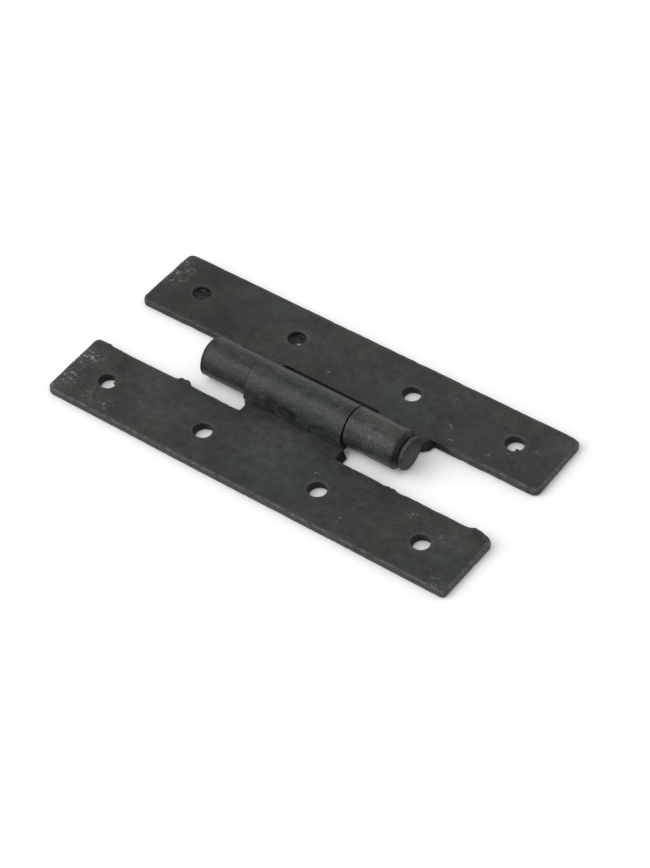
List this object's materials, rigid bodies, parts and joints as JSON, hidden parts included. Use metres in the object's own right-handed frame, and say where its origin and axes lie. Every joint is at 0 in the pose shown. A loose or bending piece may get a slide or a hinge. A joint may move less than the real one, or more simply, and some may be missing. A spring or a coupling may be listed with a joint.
{
  "type": "h hinge",
  "caption": "Flat H-shaped hinge of long strip leaves with punched screw holes, joined at the middle by a short rolled barrel on a peened pin, in dark waxed steel.",
  "frame": {"origin": "middle of the open hinge's overall box, on the plane of the backs of both leaves", "axes": "+X along the pin, +Y from the leaf with the centre knuckle to the leaf that holds the pin, +Z out of the front"},
  "size_m": [0.1016, 0.0516, 0.0091],
  "materials": {
    "waxed_steel": "blackened sheet steel under a dark satin wax",
    "pin_steel": "blackened steel under a dark satin wax, its ends hammered over"
  },
  "bodies": {
    "fixed_leaf": {"double_knuckle_leaf": "waxed_steel", "hinge_pin": "pin_steel"},
    "swinging_leaf": {"single_knuckle_leaf": "waxed_steel"}
  },
  "joints": [
    {"name": "leaf_swing", "type": "hinge", "parent": "fixed_leaf", "child": "swinging_leaf", "pos_m": [0, 0, 0.00455], "axis": [-1, 0, 0], "range_deg": [-90, 190]}
  ]
}
